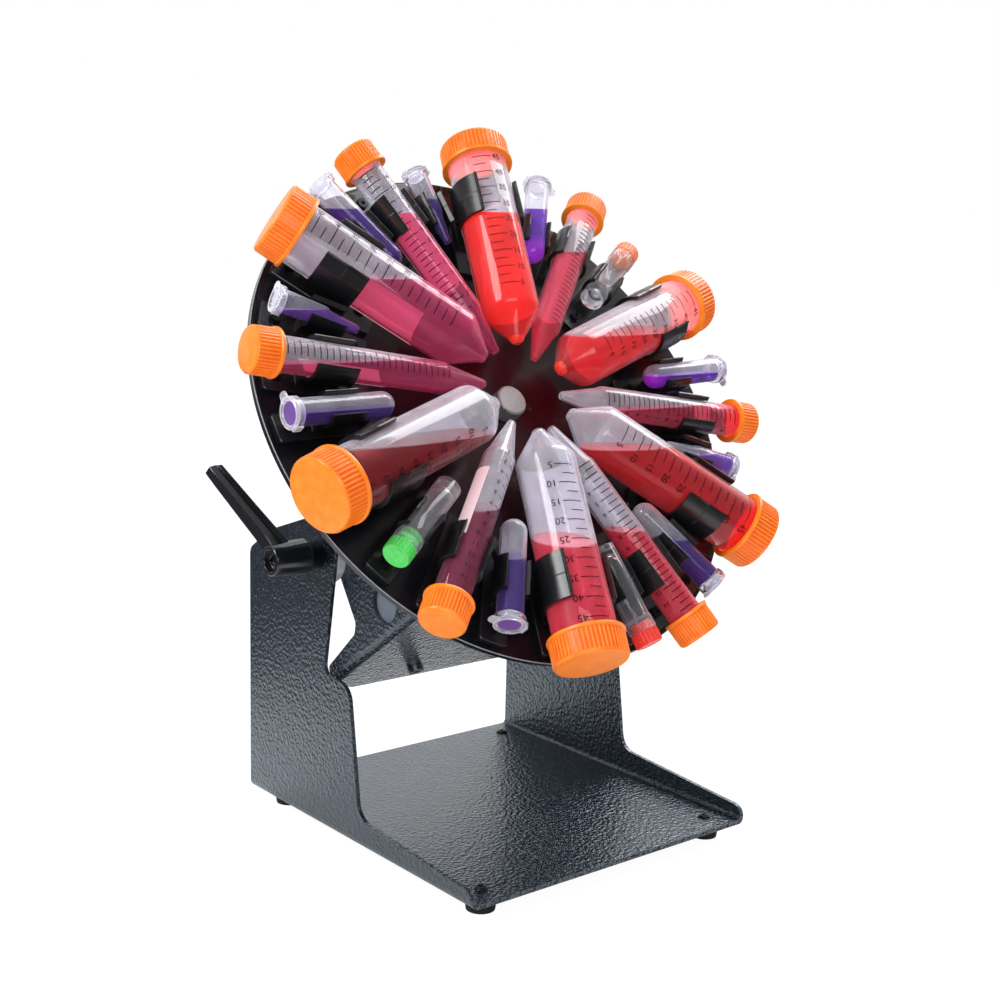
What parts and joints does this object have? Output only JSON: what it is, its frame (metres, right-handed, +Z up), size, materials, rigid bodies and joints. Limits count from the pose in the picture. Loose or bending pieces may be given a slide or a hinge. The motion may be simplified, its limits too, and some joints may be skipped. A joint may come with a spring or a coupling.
{
  "type": "tube rotator",
  "caption": "Bench tube rotator: a tilting carriage on a bent-sheet stand turns a round disc of spring clips that hold capped sample tubes, with a clamping lever at the side.",
  "frame": {"origin": "on the bench, below the middle of the whole machine, 10 mm in front of the middle of the four rubber feet", "axes": "+X across the stand to the right, away from the clamping lever; +Y to the back; +Z up"},
  "size_m": [0.281, 0.2044, 0.3395],
  "materials": {
    "hammertone": "gloss hammertone",
    "cover_paint": "smooth satin",
    "foot_rubber": "matte",
    "screw_steel": "zinc plated",
    "washer_steel": "satin",
    "stud_steel": "turned",
    "lever_plastic": "satin",
    "gear_metal": "machined",
    "motor_steel": "satin",
    "bush_brass": "turned",
    "black_plastic": "satin",
    "rocker_plastic": "gloss",
    "board_green": "solder mask",
    "shaft_steel": "ground",
    "disc_plastic": "semi-gloss",
    "clip_plastic": "semi-gloss",
    "black_screw": "black oxide",
    "thumb_metal": "knurled",
    "clear_tube": "clear",
    "orange_cap": "satin",
    "red_sample": "liquid",
    "pink_sample": "liquid",
    "small_tube": "clear",
    "small_lid": "translucent",
    "purple_sample": "liquid",
    "violet_sample": "liquid",
    "cryo_vial": "frosted",
    "cryo_cap": "satin"
  },
  "bodies": {
    "stand": {"base_frame": "hammertone", "rubber_feet": "foot_rubber", "foot_screws": "screw_steel", "friction_washers": "washer_steel", "pivot_screw": "screw_steel"},
    "clamp_core": {"clamp_stud": "stud_steel", "clamp_screw": "stud_steel", "clamp_spring": "stud_steel"},
    "clamp_lever": {"clamp_handle": "lever_plastic"},
    "carriage": {"carriage_bracket": "hammertone", "pivot_nuts": "screw_steel", "motor_plate": "hammertone", "plate_screws": "screw_steel", "gearbox": "gear_metal", "motor_can": "motor_steel", "gearbox_screws": "screw_steel", "shaft_bush": "bush_brass", "drive_cover": "cover_paint", "cover_screws": "screw_steel", "power_inlet": "black_plastic", "switch_body": "black_plastic", "control_board": "board_green", "board_pillars": "bush_brass"},
    "rocker": {"switch_rocker": "rocker_plastic"},
    "rotor": {"drive_shaft": "shaft_steel", "hub": "gear_metal", "hub_set_screws": "stud_steel", "drive_pins": "shaft_steel", "disc": "disc_plastic", "clips_50ml": "clip_plastic", "clips_15ml": "clip_plastic", "clips_small": "clip_plastic", "clips_micro": "clip_plastic", "clip_screws": "black_screw", "tubes_50ml": "clear_tube", "caps_50ml": "orange_cap", "samples_50ml": "red_sample", "tubes_15ml": "clear_tube", "caps_15ml": "orange_cap", "samples_15ml": "pink_sample", "snap_tubes": "small_tube", "snap_lids": "small_lid", "snap_samples": "purple_sample", "micro_tubes": "small_tube", "micro_lids": "small_lid", "micro_samples": "violet_sample", "cryo_vials": "cryo_vial", "cryo_caps": "cryo_cap"},
    "thumb": {"thumb_screw": "thumb_metal"}
  },
  "joints": [
    {"name": "carriage_tilt", "type": "hinge", "parent": "stand", "child": "carriage", "pos_m": [0, 0.039, 0.1395], "axis": [1, 0, 0], "range_deg": [-54, 36]},
    {"name": "rotor_spin", "type": "hinge", "parent": "carriage", "child": "rotor", "pos_m": [0, 0.01232, 0.204], "axis": [0, -0.809, 0.5878], "continuous": true},
    {"name": "clamp_turn", "type": "hinge", "parent": "stand", "child": "clamp_core", "pos_m": [-0.085, 0.039, 0.1395], "axis": [-1, 0, 0], "range_deg": [0, 180]},
    {"name": "lever_lift", "type": "slide", "parent": "clamp_core", "child": "clamp_lever", "axis": [-1, 0, 0], "range_m": [0, 0.0036], "stiffness_N_per_m": 400, "springref_m": -0.001, "deforming": ["clamp_spring"]},
    {"name": "switch_tilt", "type": "hinge", "parent": "carriage", "child": "rocker", "pos_m": [-0.018, 0.042, 0.10024], "axis": [0, 0.5878, 0.809], "range_deg": [0, 16]},
    {"name": "thumb_turn", "type": "hinge", "parent": "rotor", "child": "thumb", "pos_m": [0, 0.00989, 0.20577], "axis": [0, -0.809, 0.5878], "range_deg": [0, 360]}
  ]
}
